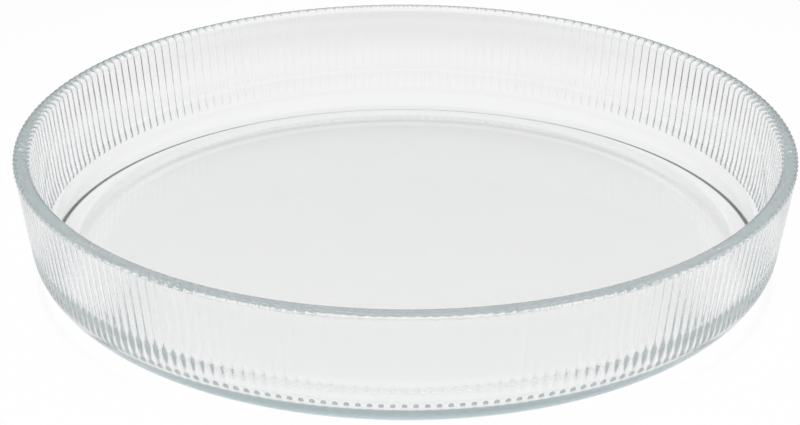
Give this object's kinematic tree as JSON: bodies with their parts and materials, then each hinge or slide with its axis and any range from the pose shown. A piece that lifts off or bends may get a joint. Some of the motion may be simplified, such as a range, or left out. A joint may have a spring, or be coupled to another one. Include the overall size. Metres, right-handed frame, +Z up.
{
  "type": "glass baking dish",
  "caption": "Round clear glass baking dish with a flat base, a rounded foot, a leaning wall with fine upright reeds outside and a smooth rim.",
  "frame": {"origin": "middle of the base, on the surface that the dish stands on", "axes": "+Z up along the dish's axis of revolution; X and Y are level, and the dish has no front"},
  "size_m": [0.28, 0.28, 0.046],
  "materials": {
    "clear_glass": "clear pressed glass, fire-polished, faintly blue-green where the light passes through a thick edge"
  },
  "bodies": {
    "root": {"base_plate": "clear_glass", "foot_ring": "clear_glass", "reeded_wall": "clear_glass", "rim": "clear_glass"}
  },
  "joints": []
}
